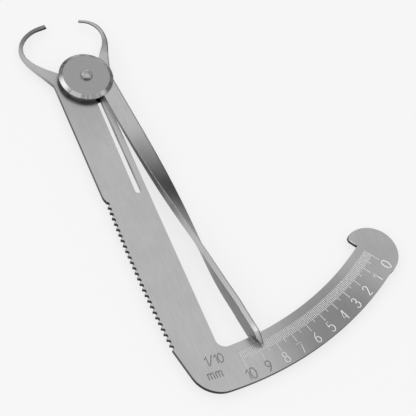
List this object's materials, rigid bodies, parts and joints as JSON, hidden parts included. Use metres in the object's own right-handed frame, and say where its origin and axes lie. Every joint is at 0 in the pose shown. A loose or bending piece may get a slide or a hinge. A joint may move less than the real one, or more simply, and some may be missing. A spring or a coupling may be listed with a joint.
{
  "type": "crown gauge",
  "caption": "Flat steel gauge with two curved jaws: a riveted twisted pointer shows the gap between them, to a tenth of a millimetre, on a curved scale.",
  "frame": {"origin": "on the pivot axis, in the end face of the rear rivet head, on which the gauge rests", "axes": "+Z along the pivot axis to the scale side, +Y along the arm to the jaws, +X to the scale's zero end"},
  "size_m": [0.0697, 0.1081, 0.0053],
  "materials": {
    "plate_steel": "satin stainless sheet",
    "lever_steel": "satin stainless strip",
    "disc_steel": "turned stainless, brighter chamfer",
    "rivet_steel": "peened stainless"
  },
  "bodies": {
    "frame": {"gauge_plate": "plate_steel", "cover_disc": "disc_steel", "back_disc": "disc_steel", "pivot_rivet": "rivet_steel"},
    "pointer": {"pointer_lever": "lever_steel", "drive_pin": "rivet_steel"}
  },
  "joints": [
    {"name": "pointer_pivot", "type": "hinge", "parent": "frame", "child": "pointer", "pos_m": [0, 0, 0.003], "axis": [0, 0, 1], "range_deg": [-4.8, 27], "stiffness_Nm_per_rad": 0.046, "springref_deg": 29.39}
  ]
}
